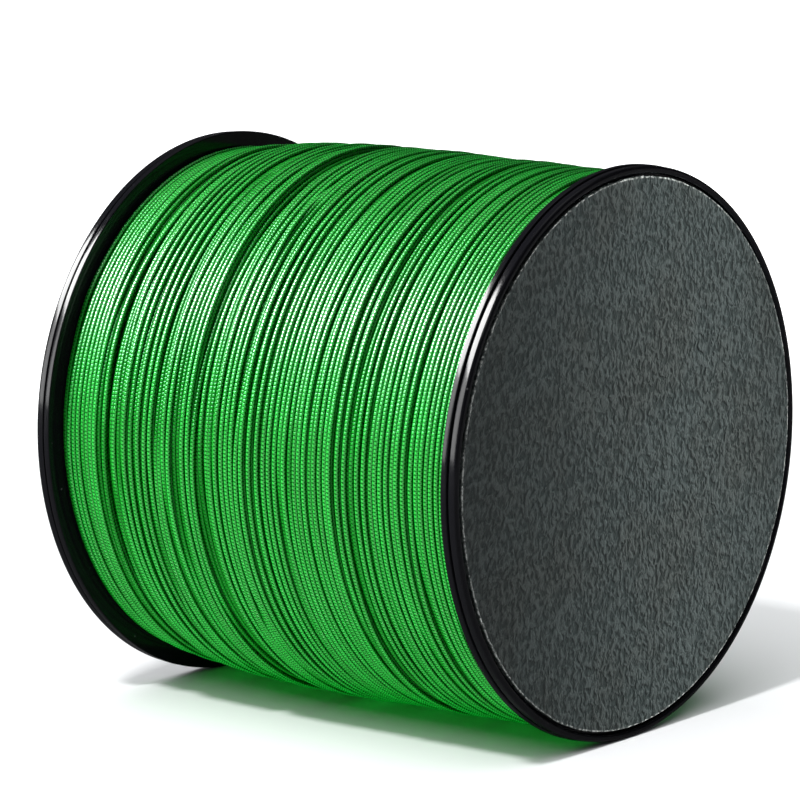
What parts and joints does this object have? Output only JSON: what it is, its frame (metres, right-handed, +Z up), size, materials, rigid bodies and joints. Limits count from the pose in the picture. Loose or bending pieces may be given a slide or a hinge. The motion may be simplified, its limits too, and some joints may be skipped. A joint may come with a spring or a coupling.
{
  "type": "fishing line spool",
  "caption": "Bulk spool of green braided fishing line between two black round flanges, lying on its rims, with a leather-look facing set in each end cover.",
  "frame": {"origin": "centre of the spool, on its axis, midway between the two end covers", "axes": "+X along the spool's axis out of the front facing, +Z up from the surface that both rims stand on"},
  "size_m": [0.094, 0.1, 0.1],
  "materials": {
    "black_plastic": "gloss",
    "inner_plastic": "satin",
    "facing_leather": "satin",
    "braid_green": "satin",
    "adhesive": "satin",
    "tape": "matte"
  },
  "bodies": {
    "spool": {"front_flange": "black_plastic", "rear_flange": "black_plastic", "core_drum": "inner_plastic", "arbor_tube": "inner_plastic", "line_pack": "braid_green", "line_middle": "braid_green", "line_outer": "braid_green", "start_tape": "tape"},
    "front_end": {"front_cover": "black_plastic", "front_adhesive": "adhesive", "front_facing": "facing_leather"},
    "rear_end": {"rear_cover": "black_plastic", "rear_adhesive": "adhesive", "rear_facing": "facing_leather"}
  },
  "joints": [
    {"name": "front_cover_pull", "type": "slide", "parent": "spool", "child": "front_end", "axis": [1, 0, 0], "range_m": [0, 0.012]},
    {"name": "rear_cover_pull", "type": "slide", "parent": "spool", "child": "rear_end", "axis": [-1, 0, 0], "range_m": [0, 0.012]}
  ]
}
